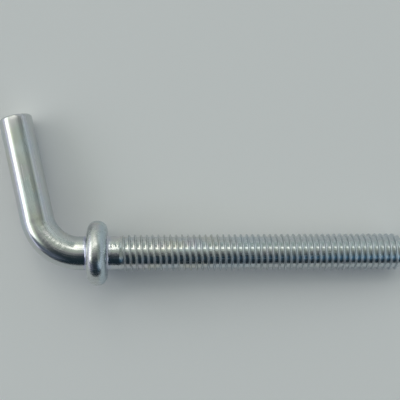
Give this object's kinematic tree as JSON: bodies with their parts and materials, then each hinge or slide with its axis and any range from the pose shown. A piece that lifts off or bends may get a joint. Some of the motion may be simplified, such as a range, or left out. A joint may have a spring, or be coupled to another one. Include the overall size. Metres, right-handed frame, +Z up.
{
  "type": "hinge pin",
  "caption": "Bent hinge pin with a smooth journal for a hinge eye, a round bend, a collar that seats against the post and a long threaded shank.",
  "frame": {"origin": "middle of the collar's seat, on the threaded shank's axis", "axes": "+Z up from the floor that the pin lies on; +X towards the thread's end, seen from above; +Y towards the journal"},
  "size_m": [0.0859, 0.0365, 0.0137],
  "materials": {
    "zinc_plated_steel": "bright zinc plate with a clear blue passivation, glossy, with fine drawing lines"
  },
  "bodies": {
    "root": {"hinge_pin": "zinc_plated_steel"}
  },
  "joints": []
}
